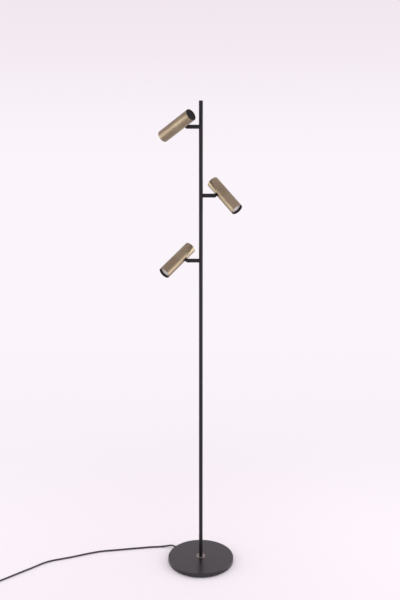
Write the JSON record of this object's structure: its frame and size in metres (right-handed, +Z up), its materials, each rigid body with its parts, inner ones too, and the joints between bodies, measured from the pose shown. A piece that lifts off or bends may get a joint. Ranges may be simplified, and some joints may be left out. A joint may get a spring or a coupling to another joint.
{
  "type": "tree floor lamp",
  "caption": "Slim tree floor lamp: a black pole on a round base with short side arms, each with a tubular antique-bronze spotlight that turns and tilts. Foot switch in the cord.",
  "frame": {"origin": "on the floor under the middle of the base, in the plane of the feet", "axes": "+Z up along the pole, +X to the right and +Y away from someone facing the lamp's front"},
  "size_m": [1.0003, 0.4208, 1.58],
  "materials": {
    "base_steel": "satin dark pewter lacquer on steel, softly reflective",
    "pole_black": "satin black powder coat",
    "bronze": "brushed antique bronze, fine streaks",
    "cap_black": "matt black moulding",
    "lens_white": "frosted white diffuser",
    "lamp_white": "glossy off-white moulding",
    "ceramic": "unglazed steatite",
    "zinc_steel": "zinc-plated steel",
    "black_steel": "black oxide screw steel",
    "rubber_black": "soft matt black rubber",
    "cord_grey": "dark grey round flexible cord, satin sheath",
    "switch_black": "fine-textured black moulding",
    "terminal_white": "translucent white nylon",
    "wire_white": "white insulated wire",
    "brass_pins": "turned brass"
  },
  "bodies": {
    "stand": {"base_disc": "base_steel", "base_feet": "rubber_black", "pocket_cover": "black_steel", "base_screws": "zinc_steel", "cord_clamp": "switch_black", "terminal_block": "terminal_white", "cord_gland": "rubber_black", "cord_inner": "cord_grey", "base_stem": "zinc_steel", "base_washer": "zinc_steel", "base_nut": "zinc_steel", "pole": "pole_black", "pole_cap": "pole_black", "base_collar": "bronze", "pole_wiring": "wire_white", "arm_grub_screws": "black_steel", "arm_tube_top": "pole_black", "arm_tube_middle": "pole_black", "arm_tube_low": "pole_black", "cord_run": "cord_grey", "cord_coil": "cord_grey", "switch_base": "switch_black", "switch_cover": "switch_black", "switch_contact": "terminal_white", "plug_body": "switch_black", "plug_pins": "brass_pins"},
    "swivel_top": {"swivel_top": "pole_black", "pivot_screw_top": "black_steel"},
    "spot_top": {"neck_top": "pole_black", "neck_screw_top": "zinc_steel", "head_tube_top": "bronze", "rear_cap_top": "cap_black", "baffle_top": "cap_black", "lamp_lens_top": "lens_white", "lamp_body_top": "lamp_white", "lamp_holder_top": "ceramic", "holder_bracket_top": "zinc_steel"},
    "swivel_middle": {"swivel_middle": "pole_black", "pivot_screw_middle": "black_steel"},
    "spot_middle": {"neck_middle": "pole_black", "neck_screw_middle": "zinc_steel", "head_tube_middle": "bronze", "rear_cap_middle": "cap_black", "baffle_middle": "cap_black", "lamp_lens_middle": "lens_white", "lamp_body_middle": "lamp_white", "lamp_holder_middle": "ceramic", "holder_bracket_middle": "zinc_steel"},
    "swivel_low": {"swivel_low": "pole_black", "pivot_screw_low": "black_steel"},
    "spot_low": {"neck_low": "pole_black", "neck_screw_low": "zinc_steel", "head_tube_low": "bronze", "rear_cap_low": "cap_black", "baffle_low": "cap_black", "lamp_lens_low": "lens_white", "lamp_body_low": "lamp_white", "lamp_holder_low": "ceramic", "holder_bracket_low": "zinc_steel"},
    "switch_button": {"switch_button": "switch_black"}
  },
  "joints": [
    {"name": "turn_top", "type": "hinge", "parent": "stand", "child": "swivel_top", "pos_m": [-0.044, 0, 1.4995], "axis": [-1, 0, 0], "range_deg": [-118, 222]},
    {"name": "tilt_top", "type": "hinge", "parent": "swivel_top", "child": "spot_top", "pos_m": [-0.044, 0, 1.4995], "axis": [0, 0.6157, 0.788], "range_deg": [-67.5, 13.5]},
    {"name": "turn_middle", "type": "hinge", "parent": "stand", "child": "swivel_middle", "pos_m": [0.044, 0, 1.2824], "axis": [1, 0, 0], "range_deg": [-131, 209]},
    {"name": "tilt_middle", "type": "hinge", "parent": "swivel_middle", "child": "spot_middle", "pos_m": [0.044, 0, 1.2824], "axis": [0, -0.7771, 0.6293], "range_deg": [-59.6, 21.4]},
    {"name": "turn_low", "type": "hinge", "parent": "stand", "child": "swivel_low", "pos_m": [-0.044, 0, 1.0707], "axis": [-1, 0, 0], "range_deg": [-215, 125]},
    {"name": "tilt_low", "type": "hinge", "parent": "swivel_low", "child": "spot_low", "pos_m": [-0.044, 0, 1.0707], "axis": [0, 0.7071, -0.7071], "range_deg": [-62.8, 18.2]},
    {"name": "press_button", "type": "slide", "parent": "stand", "child": "switch_button", "axis": [0, 0, -1], "range_m": [0, 0.003], "stiffness_N_per_m": 400, "springref_m": -0.002}
  ]
}
